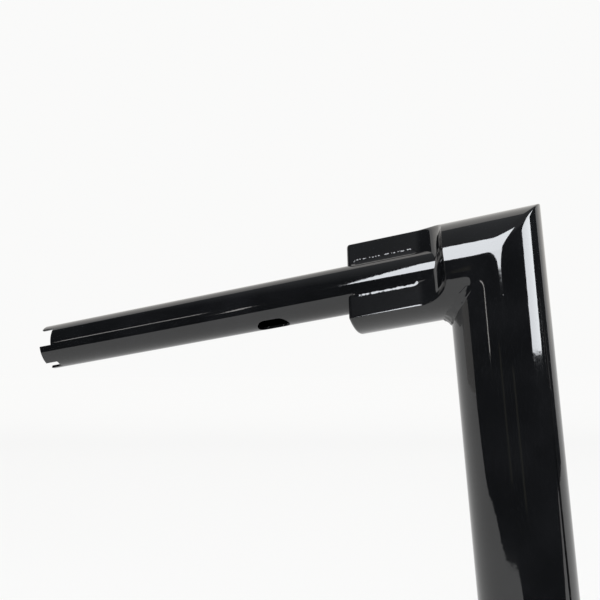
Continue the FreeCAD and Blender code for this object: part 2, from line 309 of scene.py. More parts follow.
def ring_grid(surface, rows, turns):
    """Points and normals of a surface given by row and turn, closed both ways."""
    q, a = np.meshgrid(rows, turns, indexing="ij")
    points = surface(q, a)
    step_q, step_a = 1e-4, 1e-5
    low = np.maximum(q - step_q, 0.0)
    along = surface(q + step_q, a) - surface(low, a)
    around = surface(q, a + step_a) - surface(q, a - step_a)
    normals = np.cross(along, around)
    normals /= np.maximum(np.linalg.norm(normals, axis=-1, keepdims=True), 1e-12)
    return points.reshape(-1, 3), normals.reshape(-1, 3), grid_faces(*q.shape)


def outward(points, normals, faces):
    """Faces and normals turned to the outside of a closed mesh."""
    p = points[faces]
    volume = np.einsum("ij,ij->", p[:, 0], np.cross(p[:, 1], p[:, 2]))
    volume += np.einsum("ij,ij->", p[:, 0], np.cross(p[:, 2], p[:, 3]))
    return (normals, faces) if volume > 0 else (-normals, faces[:, ::-1])


def around_axis(axis, first, second, radius, turn, station):
    """Points round an axis."""
    return (
        axis * station[..., None]
        + first * (radius * np.cos(turn))[..., None]
        + second * (radius * np.sin(turn))[..., None]
    )


def mitre_station(axis, other, first, second, radius, turn):
    """Where a line along a tube meets the mitre plane."""
    across = (first @ other) * np.cos(turn) + (second @ other) * np.sin(turn)
    return radius * across / (1 - axis @ other)


def corner_radius(other, first, second, turn):
    """Rounding of a mitre: crisp at the point and in the crook, blended at the sides."""
    across = (first @ other) * np.cos(turn) + (second @ other) * np.sin(turn)
    power = np.where(across > 0, CROOK_POWER, POINT_POWER)
    return mix(MITRE_SIDE, MITRE_EDGE, 1 - (1 - across**2) ** power)


def mitre_profile(axis, other):
    """Half of a rounded corner of unit length: tightest on the mitre plane, easing out along the tube.

    Gives half the angle between the tubes, the shares of the way, and the places there aside and down.
    """
    half = 0.5 * math.acos(axis @ other)
    f = np.linspace(0, 1, MITRE_SAMPLES)
    lean = (math.pi / 2 - half) * (1 - (1 - f) ** MITRE_EASE)
    steps = np.stack([np.cos(lean), np.sin(lean)])
    middle = (steps[:, 1:] + steps[:, :-1]) / 2 * f[1]
    out, down = np.concatenate([np.zeros((2, 1)), np.cumsum(middle, axis=1)], axis=1)
    return half, f, out, down


def mitre_arc(axis, other, first, second, radius, turn, rounding, f):
    """Half of the rounded corner: f runs from the mitre plane to the straight tube."""
    half, places, out, down = mitre_profile(axis, other)
    station = mitre_station(axis, other, first, second, radius, turn)
    corner = around_axis(axis, first, second, radius, turn, station)
    inward = unit(axis + other)
    square = unit(axis - inward * (axis @ inward))
    sunk = out[-1] / math.tan(half) - down[-1] + np.interp(f, places, down)
    aside = np.interp(f, places, out)
    return corner + square * (rounding * aside)[..., None] + inward * (rounding * sunk)[..., None]


def arc_reach(axis, other, rounding):
    """How far along the tube the rounded corner runs."""
    half, _, out, _ = mitre_profile(axis, other)
    return rounding * out[-1] / math.sin(half)


def floor_height(z):
    """Distance of the recess's floor from the arm's axis, over its station."""
    rise = np.clip(FLAT_START - z, 0.0, SCOOP_RADIUS)
    height = FLAT_OFFSET + SCOOP_RADIUS - np.sqrt(SCOOP_RADIUS**2 - rise**2)
    return height + np.maximum(RECESS_START - z, 0.0) * RUN_OUT


def flat_radius(z, turn, depth):
    """Distance from the arm's axis to a surface that lies this deep under the recess's floor."""
    ahead = np.cos(turn)
    flat = (floor_height(z) - depth) / np.maximum(ahead, LEAST_AHEAD)
    return np.where(ahead > LEAST_AHEAD, flat, NO_FLAT)


def arm_radius(z, turn, sunk):
    """Outside of the arm; sunk lowers it towards the rounded end."""
    flat = flat_radius(z, turn, sunk)
    steep = np.clip((floor_height(z) - FLAT_OFFSET) / RIM_CLIMB, 0, 1)
    cut = soft_min(FAT_RADIUS - sunk, flat, EDGE_BLEND + RIM_BLEND * steep)
    return np.maximum(cut, GRIP_RADIUS - SHELL_LAP)


def arm_bore(z, turn):
    """Inside of the arm, behind the recess's plate."""
    return np.maximum(np.minimum(FAT_BORE, flat_radius(z, turn, PLATE)), GRIP_RADIUS - HOLE_LAP)


def arm_point(z, turn, radius):
    return around_axis(ARM, FACING, ALONG_FLAT, radius, turn, z)


def arm_surface(q, turn):
    """The arm's shell; row numbers: 0 mitre, 1 tube, 2 scoop, 3 flat, 4 end rim.

    Then come 5 end face, 6 hole, 7 back of the end plate, 8 bore and 9 mitre plane.
    """
    other = -UP
    rounding = corner_radius(other, FACING, ALONG_FLAT, turn)
    station = mitre_station(ARM, other, FACING, ALONG_FLAT, FAT_RADIUS, turn)
    start = station + arc_reach(ARM, other, rounding)
    scoop = np.maximum(RECESS_START - SCOOP_MARGIN, start + MITRE_MARGIN)
    z = np.select(
        [q < 2, q < 3, q < 4],
        [
            mix(start, scoop, q - 1),
            mix(scoop, FLAT_START + SCOOP_MARGIN, q - 2),
            mix(FLAT_START + SCOOP_MARGIN, ARM_LENGTH - END_ROUNDING, q - 3),
        ],
        ARM_LENGTH,
    )
    curve = np.clip(q - 4, 0, 1) * math.pi / 2
    z = np.where((q >= 4) & (q < 5), ARM_LENGTH - END_ROUNDING * (1 - np.sin(curve)), z)
    sunk = np.where(q >= 4, END_ROUNDING * (1 - np.cos(np.minimum(curve, math.pi / 2))), 0.0)
    outside = arm_point(z, turn, arm_radius(z, turn, sunk))
    arc = mitre_arc(ARM, other, FACING, ALONG_FLAT, FAT_RADIUS, turn, rounding, np.clip(q, 0, 1))

    rim = arm_radius(np.full_like(turn, ARM_LENGTH), turn, END_ROUNDING)
    hole = GRIP_RADIUS - HOLE_LAP
    face = arm_point(np.full_like(turn, ARM_LENGTH), turn, mix(rim, hole, np.clip(q - 5, 0, 1)))
    through = arm_point(ARM_LENGTH - END_PLATE * np.clip(q - 6, 0, 1), turn, np.full_like(turn, hole))
    back_z = np.full_like(turn, ARM_LENGTH - END_PLATE)
    back = arm_point(back_z, turn, mix(hole, arm_bore(back_z, turn), np.clip(q - 7, 0, 1)))
    bore_start = mitre_station(ARM, other, FACING, ALONG_FLAT, FAT_BORE, turn)
    bore_z = mix(back_z, bore_start, np.clip(q - 8, 0, 1))
    bore = arm_point(bore_z, turn, arm_bore(bore_z, turn))
    outer_edge = mitre_arc(ARM, other, FACING, ALONG_FLAT, FAT_RADIUS, turn, rounding, np.zeros_like(turn))
    inner_edge = arm_point(bore_start, turn, arm_bore(bore_start, turn))
    plane = mix(inner_edge, outer_edge, np.clip(q - 9, 0, 1)[..., None])

    conditions = [(q < 1), (q < 5), (q < 6), (q < 7), (q < 8), (q < 9)]
    return np.select([c[..., None] for c in conditions], [arc, outside, face, through, back, bore], plane)


def spread(*spans):
    """Row numbers: each span is (from, to, steps), without its last value."""
    return np.concatenate([np.linspace(a, b, n, endpoint=False) for a, b, n in spans])


def add_arm(side, mirror):
    """The arm with its recess and its closed end, as one shell."""
    turns = np.concatenate(
        [
            np.linspace(-RECESS_TURN, RECESS_TURN, RECESS_COLUMNS, endpoint=False),
            np.linspace(RECESS_TURN, 2 * math.pi - RECESS_TURN, BACK_COLUMNS, endpoint=False),
        ]
    )
    points, normals, faces = ring_grid(arm_surface, spread(*ARM_ROWS), turns)
    normals, faces = outward(points, normals, faces)
    nodes = [f"{n}_{side}" for n in ("arm_tube", "recess_plate", "arm_end_plate")]
    build(f"arm_shell_{side}", points + TOP_CORNER, faces, mirror, nodes, normals)


def upright_surface(q, turn):
    """Row numbers: 0 top mitre, 1 tube, 2 foot mitre, 3 plane, 4 bore, 5 plane."""
    first = unit(AHEAD - UP * (AHEAD @ UP))
    second = np.cross(UP, first)
    top_round = corner_radius(ARM, first, second, turn)
    foot_round = corner_radius(BASE, first, second, turn)
    shift = -UP * UPRIGHT_LENGTH
    top = mitre_station(-UP, ARM, first, second, FAT_RADIUS, turn) + arc_reach(-UP, ARM, top_round)
    foot = mitre_station(UP, BASE, first, second, FAT_RADIUS, turn) + arc_reach(UP, BASE, foot_round)
    top_arc = mitre_arc(-UP, ARM, first, second, FAT_RADIUS, turn, top_round, np.clip(q, 0, 1))
    foot_arc = mitre_arc(UP, BASE, first, second, FAT_RADIUS, turn, foot_round, np.clip(3 - q, 0, 1))
    foot_arc = foot_arc + shift
    station = mix(-top, foot - UPRIGHT_LENGTH, np.clip(q - 1, 0, 1))
    tube = around_axis(UP, first, second, FAT_RADIUS, turn, station)
    bore_top = -mitre_station(-UP, ARM, first, second, FAT_BORE, turn)
    bore_foot = mitre_station(UP, BASE, first, second, FAT_BORE, turn) - UPRIGHT_LENGTH
    bore = around_axis(UP, first, second, FAT_BORE, turn, mix(bore_foot, bore_top, np.clip(q - 4, 0, 1)))
    low_out = mitre_arc(UP, BASE, first, second, FAT_RADIUS, turn, foot_round, np.zeros_like(turn)) + shift
    low_in = around_axis(UP, first, second, FAT_BORE, turn, bore_foot)
    low_plane = mix(low_out, low_in, np.clip(q - 3, 0, 1)[..., None])
    high_in = around_axis(UP, first, second, FAT_BORE, turn, bore_top)
    high_out = mitre_arc(-UP, ARM, first, second, FAT_RADIUS, turn, top_round, np.zeros_like(turn))
    high_plane = mix(high_in, high_out, np.clip(q - 5, 0, 1)[..., None])
    conditions = [(q < 1), (q < 2), (q < 3), (q < 4), (q < 5)]
    return np.select(
        [c[..., None] for c in conditions], [top_arc, tube, foot_arc, low_plane, bore], high_plane
    )


def add_upright(side, mirror):
    turns = np.linspace(0, 2 * math.pi, FAT_COLUMNS, endpoint=False)
    points, normals, faces = ring_grid(upright_surface, spread(*UPRIGHT_ROWS), turns)
    normals, faces = outward(points, normals, faces)
    build(f"upright_{side}", points + TOP_CORNER, faces, mirror, [f"upright_tube_{side}"], normals)


def slot_edge(slot, way):
    """Distance from the middle of a round-ended slot to its edge."""
    half, radius = (slot[0] - slot[1]) / 2, slot[1] / 2
    along, across = np.abs(np.cos(way)), np.maximum(np.abs(np.sin(way)), 1e-9)
    end = half * along + np.sqrt(np.maximum(radius**2 - (half * across) ** 2, 0.0))
    return np.where(radius / across * along <= half, radius / across, end)


class TubeWall:
    """An unrolled tube wall: rows along it, turns round it, and the faces left by its cuts."""

    def __init__(self, rows, turns, bore_turns):
        self.rows = np.asarray(rows, float)
        self.columns = len(turns)
        self.grid_turns = np.asarray(turns, float)
        self.row = np.repeat(self.rows, self.columns)
        self.turn = np.tile(turns, len(rows))
        self.bore_turn = np.tile(bore_turns, len(rows))
        self.cut = set()
        self.faces = []

    def corner(self, i, j):
        return i * self.columns + j % self.columns

    def cut_cells(self, first_row, last_row, columns):
        self.cut.update((i, j % self.columns) for i in range(first_row, last_row) for j in columns)

    def cut_slot(self, station, turn, slot, radius, bore):
        """A round-ended slot, joined by rings to the rectangle of cells cut round it."""
        reach = np.array(slot) / 2 + SLOT_MARGIN
        low = np.flatnonzero(self.rows <= station - reach[0])[-1]
        high = np.flatnonzero(self.rows >= station + reach[0])[0]
        offset = np.remainder(self.grid_turns - turn + math.pi, 2 * math.pi) - math.pi
        side = math.asin(reach[1] / radius)
        left = np.where(offset <= -side, offset, -np.inf).argmax()
        count = (np.where(offset >= side, offset, np.inf).argmin() - left) % self.columns
        columns = range(left, left + count)
        self.cut_cells(low, high, columns)
        loop = [(low, j) for j in columns] + [(i, left + count) for i in range(low, high)]
        loop += [(high, j + 1) for j in reversed(columns)] + [(i, left) for i in range(high, low, -1)]
        rim = np.array([self.corner(i, j) for i, j in loop])
        x, y = self.row[rim] - station, np.remainder(self.turn[rim] - turn + math.pi, 2 * math.pi) - math.pi
        way = np.arctan2(y / np.abs(y).max() * slot[1], x / np.abs(x).max() * slot[0])
        previous = rim
        for share, gap in SLOT_RINGS:
            edge = slot_edge((slot[0] + 2 * gap, slot[1] + 2 * gap), way)
            end, across = edge * np.cos(way), edge * np.sin(way)
            current = len(self.row) + np.arange(len(rim))
            self.row = np.append(self.row, station + mix(x, end, share))
            self.turn = np.append(self.turn, turn + mix(y, np.arcsin(across / radius), share))
            self.bore_turn = np.append(self.bore_turn, turn + mix(y, np.arcsin(across / bore), share))
            ahead, onward = np.roll(previous, -1), np.roll(current, -1)
            self.faces += np.stack([previous, ahead, onward, current], axis=-1).tolist()
            previous = current

    def solid(self, outside, inside):
        """Points, normals and faces of the closed wall, with broken edges at its cuts and ends."""
        for i in range(len(self.rows) - 1):
            for j in range(self.columns):
                if (i, j) not in self.cut:
                    quad = (i, j), (i, j + 1), (i + 1, j + 1), (i + 1, j)
                    self.faces.append([self.corner(*c) for c in quad])
        faces = np.array(self.faces)
        starts, ends = faces.ravel(), np.roll(faces, -1, axis=1).ravel()
        keys = np.minimum(starts, ends) * len(self.row) + np.maximum(starts, ends)
        _, where, uses = np.unique(keys, return_index=True, return_counts=True)
        rim = where[uses == 1]
        used = np.zeros(len(self.row), bool)
        used[faces.ravel()] = True

        shells, directions = [], []
        for surface, turn in ((outside, self.turn), (inside, self.bore_turn)):
            points, normals = surface_normals(surface, self.row, turn)
            shells.append(points)
            directions.append(normals)
        flip = np.sign(np.einsum("ij,ij->", directions[0], shells[0] - shells[1]))
        directions = [directions[0] * flip, directions[1] * -flip]
        away = np.zeros_like(shells[0])
        for k in rim:
            a, b = starts[k], ends[k]
            line = unit(shells[0][b] - shells[0][a])
            push = shells[0][[a, b]].mean(axis=0) - shells[0][faces[k // 4]].mean(axis=0)
            push -= line * (push @ line)
            push -= directions[0][a] * (push @ directions[0][a])
            away[[a, b]] += unit(push)
        edge = np.unique(np.concatenate([starts[rim], ends[rim]]))
        edge = edge[self.row[edge] > self.rows[0] + 1e-6]
        away[edge] /= np.linalg.norm(away[edge], axis=1, keepdims=True)
        for points, normals in zip(shells, directions):
            points[edge] -= normals[edge] * EDGE_BREAK
            normals[edge] = away[edge]

        total = len(self.row)
        walls = np.stack([ends[rim], starts[rim], starts[rim] + total, ends[rim] + total], axis=-1)
        quads = np.concatenate([faces, faces[:, ::-1] + total, walls])
        keep = np.concatenate([used, used])
        number = np.cumsum(keep) - 1
        return np.concatenate(shells)[keep], np.concatenate(directions)[keep], number[quads]


def surface_normals(surface, row, turn):
    """Points of a surface given by row and turn, with its normals."""
    step = 1e-4
    along = surface(row + step, turn) - surface(row - step, turn)
    around = surface(row, turn + step) - surface(row, turn - step)
    normals = np.cross(along, around)
    return surface(row, turn), normals / np.linalg.norm(normals, axis=-1, keepdims=True)


def grip_turns(notched):
    """Turns round the grip for its outside and its bore; a notch has parallel sides."""
    outer, inner = [], []
    if notched:
        for k in range(4):
            centre, half = NOTCH_ANGLE + k * math.pi / 2, NOTCH_WIDTHS[k % 2] / 2
            for side in (-half - EDGE_BREAK, -half, 0, half, half + EDGE_BREAK):
                outer.append(centre + math.asin(side / GRIP_RADIUS))
                inner.append(centre + math.asin(side / GRIP_BORE))
            outer.append(centre + math.pi / 4)
            inner.append(centre + math.pi / 4)
    even = np.linspace(0, 2 * math.pi, GRIP_COLUMNS, endpoint=False)
    if not notched:
        return even, even
    outer, inner = np.array(outer), np.array(inner)
    shift = np.remainder(outer, 2 * math.pi) - outer
    order = np.argsort(outer + shift)
    outer, inner = (outer + shift)[order], (inner + shift)[order]
    gap = np.abs(np.remainder(even[:, None] - outer[None, :] + math.pi, 2 * math.pi) - math.pi).min(axis=1)
    turns = np.sort(np.concatenate([even[gap > 0.4 * even[1]], outer]))
    turn = 2 * math.pi
    anchors = np.concatenate([outer - turn, outer, outer + turn])
    return turns, np.interp(turns, anchors, np.concatenate([inner - turn, inner, inner + turn]))


def add_grip(side, mirror):
    """The grip tube: a wire slot below, and four notches in the throttle end."""
    notched = side == "right"
    floor = GRIP_END - NOTCH_DEPTH
    low, high = (WIRE_SLOT_STATION + s * (WIRE_SLOT[0] / 2 + SLOT_MARGIN) for s in (-1, 1))
    rows = spread((RECESS_START, low, 8), (low, high, 26), (high, floor - EDGE_BREAK, 12))
    tip = (floor - EDGE_BREAK, floor, mix(floor, GRIP_END, 0.5), GRIP_END - EDGE_BREAK, GRIP_END)
    rows = np.append(rows, tip)
    turns, bore_turns = grip_turns(notched)
    wall = TubeWall(rows, turns, bore_turns)
    wall.cut_slot(WIRE_SLOT_STATION, WIRE_SLOT_ANGLE, WIRE_SLOT, GRIP_RADIUS, GRIP_BORE)
    if notched:
        middles = turns + (np.roll(turns, -1) - turns) % (2 * math.pi) / 2
        for k in range(4):
            half = math.asin(NOTCH_WIDTHS[k % 2] / 2 / GRIP_RADIUS)
            offset = np.remainder(middles - NOTCH_ANGLE - k * math.pi / 2 + math.pi, 2 * math.pi) - math.pi
            wall.cut_cells(len(rows) - 4, len(rows) - 1, np.flatnonzero(np.abs(offset) < half).tolist())
    shells = [
        lambda row, turn, r=r: around_axis(ARM, AHEAD, ABOVE, np.full_like(turn, r), turn, row)
        for r in (GRIP_RADIUS, GRIP_BORE)
    ]
    points, normals, faces = wall.solid(*shells)
    normals, faces = outward(points, normals, faces)
    build(f"grip_{side}", points + TOP_CORNER, faces, mirror, [f"grip_tube_{side}"], normals)


def base_outside(row, turn):
    """Outside of the base tube: rows -2 to -1 round the mitre, to 0 the tube beside it, then stations."""
    rounding = corner_radius(UP, BASE_DOWN, BASE_BACK, turn)
    arc = mitre_arc(BASE, UP, BASE_DOWN, BASE_BACK, FAT_RADIUS, turn, rounding, np.clip(row + 2, 0, 1))
    start = mitre_station(BASE, UP, BASE_DOWN, BASE_BACK, FAT_RADIUS, turn) + arc_reach(BASE, UP, rounding)
    station = np.where(row < 0, mix(start, BASE_PLAIN, np.clip(row + 1, 0, 1)), row)
    tube = around_axis(BASE, BASE_DOWN, BASE_BACK, np.full_like(turn, FAT_RADIUS), turn, station)
    return np.where((row < -1)[..., None], arc, tube)


def base_inside(row, turn):
    """Bore of the base tube, by the same rows."""
    start = mitre_station(BASE, UP, BASE_DOWN, BASE_BACK, FAT_BORE, turn)
    station = np.where(row < 0, mix(start, BASE_PLAIN, row / 2 + 1), row)
    return around_axis(BASE, BASE_DOWN, BASE_BACK, np.full_like(turn, FAT_BORE), turn, station)


def add_base(side, mirror):
    """The fat tube below the upright, with a slot underneath where the wires leave."""
    end = BASE_HALF_SPAN - CLAMP_HALF_WIDTH - BASE_RING
    middle = end - EXIT_SLOT_SETBACK
    low, high = (middle + s * (EXIT_SLOT[0] / 2 + SLOT_MARGIN) for s in (-1, 1))
    last = end - EDGE_BREAK
    rows = spread((-2, -1, 8), (-1, 0, 6), (BASE_PLAIN, low, 3), (low, high, 30), (high, last, 6))
    rows = np.append(rows, (last, end))
    turns = np.linspace(0, 2 * math.pi, FAT_COLUMNS, endpoint=False)
    wall = TubeWall(rows, turns, turns)
    wall.cut_slot(middle, 0.0, EXIT_SLOT, FAT_RADIUS, FAT_BORE)
    points, normals, faces = wall.solid(base_outside, base_inside)
    normals, faces = outward(points, normals, faces)
    build(f"base_{side}", points + LOW_CORNER, faces, mirror, [f"base_tube_{side}"], normals)


def turned(profile, name, mirror, nodes):
    """A piece turned about the clamp tube's axis from its section of stations and radii."""
    x, r = np.array(profile, float).T
    turns = np.linspace(0, 2 * math.pi, FAT_COLUMNS, endpoint=False)
    across, upward = (np.outer(r, wave(turns)).ravel() for wave in (np.cos, np.sin))
    points = np.stack([np.repeat(x, FAT_COLUMNS), across, upward], axis=-1)
    build(name, points, grid_faces(len(x), FAT_COLUMNS), mirror, nodes)


def rounded_corner(x, r, radius, start, steps=6):
    """Points of a quarter round in a section, from one direction to the next."""
    angles = start + np.linspace(0, math.pi / 2, steps + 1)
    return [(x + radius * math.cos(a), r + radius * math.sin(a)) for a in angles]


def add_ring(side, mirror):
    """The ring that closes the base tube round the clamp tube."""
    back, face = -CLAMP_HALF_WIDTH - BASE_RING, -CLAMP_HALF_WIDTH
    hole = CLAMP_RADIUS - SPIGOT_STEP + WELD_GAP
    section = [(back, hole), (back, FAT_RADIUS)]
    section += rounded_corner(face - RING_ROUNDING, FAT_RADIUS - RING_ROUNDING, RING_ROUNDING, 0)[::-1]
    section += rounded_corner(face - EDGE_BREAK, hole + EDGE_BREAK, EDGE_BREAK, -math.pi / 2, 3)[::-1]
    turned(section, f"ring_{side}", mirror, [f"base_ring_{side}"])


def add_clamp():
    """The bare tube in the middle that the risers hold."""
    shoulder, spigot = CLAMP_HALF_WIDTH - CLAMP_RELIEF, CLAMP_RADIUS - SPIGOT_STEP
    half = [(CLAMP_REACH, CLAMP_BORE + EDGE_BREAK), (CLAMP_REACH, spigot - EDGE_BREAK)]
    half += [(CLAMP_REACH - EDGE_BREAK, spigot), (shoulder, spigot)]
    half += [(shoulder - EDGE_BREAK, CLAMP_RADIUS)]
    section = half + [(-x, r) for x, r in reversed(half)]
    section += [(-CLAMP_REACH + EDGE_BREAK, CLAMP_BORE), (CLAMP_REACH - EDGE_BREAK, CLAMP_BORE)]
    turned(section, "clamp_bar", False, ["clamp_tube"])


def lumps(length, pitch, seed):
    """Uneven swells along a weld, between about -1 and 1."""
    draw = np.random.default_rng(seed)
    total = np.zeros_like(length)
    for share, strength in ((1.0, 0.55), (0.43, 0.3), (2.3, 0.35)):
        wave = pitch * share * draw.uniform(0.85, 1.15)
        total += strength * np.sin(2 * math.pi * length / wave + draw.uniform(0, 6))
    return total


def add_bead(name, first, second, corner, root, hollow, margin, ridges, mirror, node):
    """A weld bead between two toe lines: hollowed towards the joint, with a ridge beside each toe."""
    t = np.linspace(0, 1, BEAD_COLUMNS)[None, :, None]
    c = t * t * (3 - 2 * t)
    middle = mix((first + second) / 2, corner, hollow)
    face = first[:, None] * (1 - c) ** 2 + middle[:, None] * 2 * c * (1 - c) + second[:, None] * c**2
    for rise, place in zip(ridges, (margin, 1 - margin)):
        swell = np.exp(-(((c - place) / margin) ** 2)) * np.clip(c * (1 - c) * LIP_END, 0, 1)
        face = face + rise[:, None] * swell
    loops = np.concatenate([face, root[:, None]], axis=1)
    n, m = loops.shape[:2]
    faces = grid_faces(n, m, closed=False).tolist()
    ends = [list(range(m)), list(range((n - 1) * m, n * m))]
    build(name, loops.reshape(-1, 3), faces + ends, mirror, [node])


def add_corner_bead(name, corner, axis, other, seed, mirror, node):
    """The bead in the crook of a mitre, thickest in the middle and thinning out round the sides."""
    swing = np.linspace(-1, 1, CORNER_BEAD_ROWS)
    angle = swing * CORNER_BEAD_SPREAD
    toward = unit(other - axis * (axis @ other))
    aside = np.cross(axis, toward)
    around = toward * np.cos(angle)[:, None] + aside * np.sin(angle)[:, None]
    station = FAT_RADIUS * (around @ other) / (1 - axis @ other)
    joint = around * FAT_RADIUS + axis * station[:, None]
    mirror_normal = unit(axis - other)
    length = angle * FAT_RADIUS
    fade = (1 - swing**4) ** 0.5 + CORNER_BEAD_TIP
    swells = [CORNER_SWELL * lumps(length, CORNER_PITCH, seed + k) for k in (0, 1)]
    legs = [CORNER_BEAD_LEG * fade * (1 + swell) for swell in swells]
    toes = [joint + axis * leg[:, None] - around * BEAD_SINK for leg in legs]
    toes[1] = toes[1] - 2 * (toes[1] @ mirror_normal)[:, None] * mirror_normal
    lips = [np.clip(CORNER_LIP_BASE + lumps(length, CORNER_LIP_PITCH, seed + k), 0, 1) for k in (2, 3)]
    ridges = [np.multiply.outer(lip * fade * CORNER_LIP_HEIGHT, unit(axis + other)) for lip in lips]
    root = joint - around * BEAD_ROOT
    root -= (root @ mirror_normal)[:, None] * mirror_normal
    lines = [line + corner for line in (toes[0], toes[1], joint, root)]
    add_bead(name, *lines, CORNER_HOLLOW, CORNER_LIP, ridges, mirror, node)


def add_recess_bead(name, upward, leg, hollow, spatter, seed, mirror, node):
    """The bead between the grip tube and the recess's floor, with spatter frozen beside its toe."""
    z = np.linspace(FLAT_START - BEAD_RUN, ARM_LENGTH - END_ROUNDING - BEAD_INSET, RECESS_BEAD_ROWS)
    floor = floor_height(z)
    fade = np.clip(np.minimum(z - z[0], z[-1] - z) / RECESS_BEAD_FADE, RECESS_BEAD_TIP, 1) ** 0.5
    legs = [leg * fade * (1 + RECESS_SWELL * lumps(z, RECESS_PITCH, seed + k)) for k in (0, 1)]
    side = np.sqrt(GRIP_RADIUS**2 - floor**2)
    lap = np.arccos(floor / GRIP_RADIUS) - legs[1] / GRIP_RADIUS
    rail = GRIP_RADIUS - BEAD_SINK

    def place(depth, offset):
        rise, aside = np.multiply.outer(depth, FACING), np.multiply.outer(upward * offset, ALONG_FLAT)
        return TOP_CORNER + np.multiply.outer(z, ARM) + rise + aside

    toe = place(floor - BEAD_SINK, side + legs[0])
    crest = place(rail * np.cos(lap), rail * np.sin(lap))
    joint = place(floor, side)
    root = place(floor - BEAD_ROOT, side - 0.5 * BEAD_ROOT)
    drops = np.clip(SPATTER_BASE + SPATTER_SWELL * lumps(z, SPATTER_PITCH, seed + 2), 0, SPATTER_TOP)
    ridge = np.multiply.outer(spatter * drops, FACING)
    ridges = (np.zeros_like(ridge), ridge)
    add_bead(name, crest, toe, joint, root, hollow, RECESS_LIP, ridges, mirror, node)


class Value:
    """A socket of a shader; arithmetic on it adds Math nodes."""

    def __init__(self, tree, socket=None):
        self.tree = tree
        self.socket = socket

    def node(self, kind, settings, inputs, output=0):
        """A new node from its type, its settings and what its sockets take; gives one of its outputs."""
        made = self.tree.nodes.new(kind)
        for name, setting in settings.items():
            setattr(made, name, setting)
        for name, given in inputs.items():
            if isinstance(given, Value):
                self.tree.links.new(given.socket, made.inputs[name])
            else:
                made.inputs[name].default_value = given
        return Value(self.tree, made.outputs[output] if made.outputs else None)

    def maths(self, operation, first, second):
        return self.node("ShaderNodeMath", {"operation": operation}, {0: first, 1: second})

    def __add__(self, other):
        return self.maths("ADD", self, other)

    def __radd__(self, other):
        return self.maths("ADD", other, self)

    def __sub__(self, other):
        return self.maths("SUBTRACT", self, other)

    def __rsub__(self, other):
        return self.maths("SUBTRACT", other, self)

    def __mul__(self, other):
        return self.maths("MULTIPLY", self, other)

    def __rmul__(self, other):
        return self.maths("MULTIPLY", other, self)

    def noise(self, place, scale, detail):
        return self.node("ShaderNodeTexNoise", {}, {"Vector": place, "Scale": scale, "Detail": detail})

    def step(self, low, high):
        """Smooth step from 0 to 1 over a range."""
        ends = {"Value": self, "From Min": low, "From Max": high}
        return self.node("ShaderNodeMapRange", {"interpolation_type": "SMOOTHSTEP"}, ends)

    def blend(self, first, second):
        """Colour between two colours, by this value."""
        return self.node("ShaderNodeMix", {"data_type": "RGBA"}, {0: self, 6: first, 7: second}, 2)


def new_material(name):
    material = bpy.data.materials.new(name)
    material.use_nodes = True
    material.node_tree.nodes.clear()
    return material, Value(material.node_tree)


def finish_material(start, shader):
    start.node("ShaderNodeOutputMaterial", {}, {"Surface": shader})


def gloss_black():
    """Black powder coat with a deep gloss: slight orange peel, faint haze and a few dust nibs."""
    material, start = new_material("gloss_black")
    place = start.node("ShaderNodeTexCoord", {}, {}, "Object")
    peel = start.noise(place, 330.0, 1.0)
    swell = start.noise(place, 90.0, 1.0)
    haze = start.noise(place, 45.0, 4.0)
    nibs = start.node("ShaderNodeTexVoronoi", {}, {"Vector": place, "Scale": 420.0}, "Distance")
    rare = start.noise(place, 70.0, 0.0).step(0.66, 0.7)
    nib = (1 - nibs.step(0.05, 0.16)) * rare
    tone = haze.step(0.3, 0.75).blend((0.002, 0.0021, 0.0024, 1), (0.004, 0.0041, 0.0046, 1))
    height = peel * 0.5 + swell * 0.8 + nib * 0.5
    normal = start.node("ShaderNodeBump", {}, {"Strength": 0.06, "Distance": 0.0004, "Height": height})
    shader = start.node(
        "ShaderNodeBsdfPrincipled",
        {},
        {
            "Base Color": tone,
            "Roughness": 0.035 + haze * 0.03 + nib * 0.1,
            "IOR": 1.6,
            "Normal": normal,
        },
    )
    finish_material(start, shader)
    return material


def bare_steel():
    """Turned steel inside the tubes: fine tool marks round the axis and dull mill scale."""
    material, start = new_material("bare_steel")
    place = start.node("ShaderNodeTexCoord", {}, {}, "Object")
    drawn = start.node("ShaderNodeMapping", {}, {"Vector": place, "Scale": (6.0, 1.0, 1.0)})
    marks = start.noise(drawn, 700.0, 2.0)
    scale = start.noise(place, 60.0, 4.0).step(0.4, 0.65)
    normal = start.node("ShaderNodeBump", {}, {"Strength": 0.2, "Distance": 0.0002, "Height": marks})
    shader = start.node(
        "ShaderNodeBsdfPrincipled",
        {},
        {
            "Base Color": scale.blend((0.47, 0.46, 0.45, 1), (0.2, 0.19, 0.18, 1)),
            "Metallic": 1.0,
            "Roughness": 0.32 + scale * 0.25 + marks * 0.1,
            "Normal": normal,
        },
    )
    finish_material(start, shader)
    return material


def seen_ray(start):
    """1 for rays that show the background: straight to the eye, mirrored or through glass."""
    path = start.node("ShaderNodeLightPath", {}, {}, "Is Camera Ray")
    outputs = path.socket.node.outputs
    mirrored = Value(start.tree, outputs["Is Glossy Ray"])
    through = Value(start.tree, outputs["Is Transmission Ray"])
    return path.maths("MAXIMUM", path, mirrored.maths("MAXIMUM", mirrored, through))


def studio_world():
    world = bpy.data.worlds.new("studio")
    world.use_nodes = True
    world.node_tree.nodes.clear()
    start = Value(world.node_tree)
    light = start.node("ShaderNodeBackground", {}, {"Color": (1, 1, 1, 1), "Strength": 0.6})
    white = start.node("ShaderNodeBackground", {}, {"Color": (0.955, 0.955, 0.95, 1), "Strength": 1.0})
    mixed = start.node("ShaderNodeMixShader", {}, {0: seen_ray(start), 1: light, 2: white})
    start.node("ShaderNodeOutputWorld", {}, {"Surface": mixed})
    bpy.context.scene.world = world


